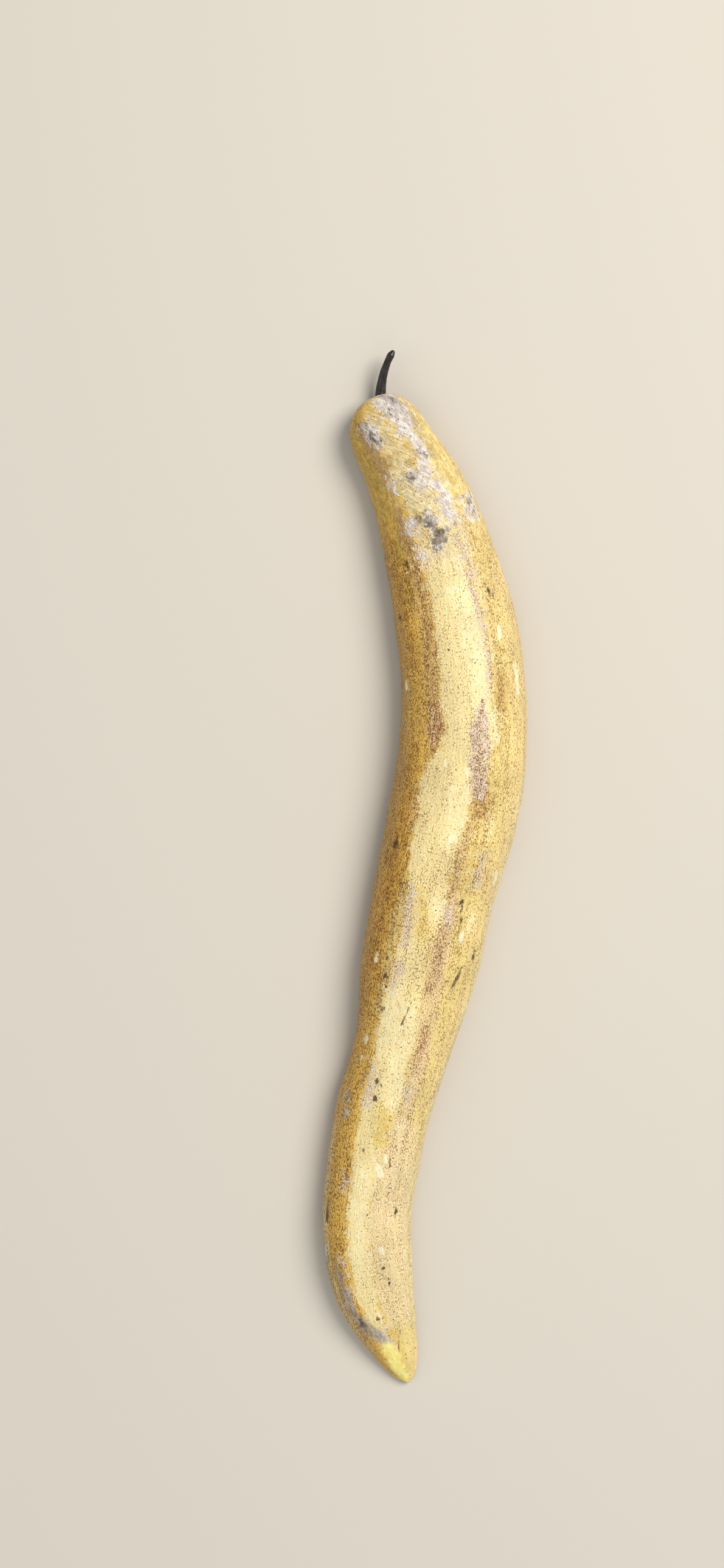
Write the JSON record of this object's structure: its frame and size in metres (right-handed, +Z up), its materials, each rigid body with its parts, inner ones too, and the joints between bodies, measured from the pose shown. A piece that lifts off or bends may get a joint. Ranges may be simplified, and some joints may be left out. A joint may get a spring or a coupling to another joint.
{
  "type": "leatherleaf slug",
  "caption": "Still life-size model of a crawling leatherleaf slug: a long leathery back over a narrow sole, with one stalked tentacle held out.",
  "frame": {"origin": "on the floor, under the middle of the whole animal's bounding box", "axes": "+Y from the tail to the head, +X to the animal's right, +Z up from the sole"},
  "size_m": [0.0335, 0.1697, 0.0119],
  "materials": {
    "back_skin": "moist leathery skin, ochre with a cream band and brown speckles",
    "sole_skin": "wet, pale grey-buff sole",
    "head_skin": "wet, grey-brown skin",
    "tentacle_skin": "wet, slate black skin",
    "eye_black": "glossy black"
  },
  "bodies": {
    "root": {"mantle_front": "back_skin", "mantle_fore": "back_skin", "mantle_middle": "back_skin", "mantle_hind": "back_skin", "mantle_tail": "back_skin", "foot_front": "sole_skin", "foot_middle": "sole_skin", "foot_rear": "sole_skin", "head": "head_skin", "tentacle_upper_right": "tentacle_skin", "tentacle_upper_left": "tentacle_skin", "tentacle_lower_right": "head_skin", "tentacle_lower_left": "head_skin", "eye_right": "eye_black", "eye_left": "eye_black"}
  },
  "joints": []
}
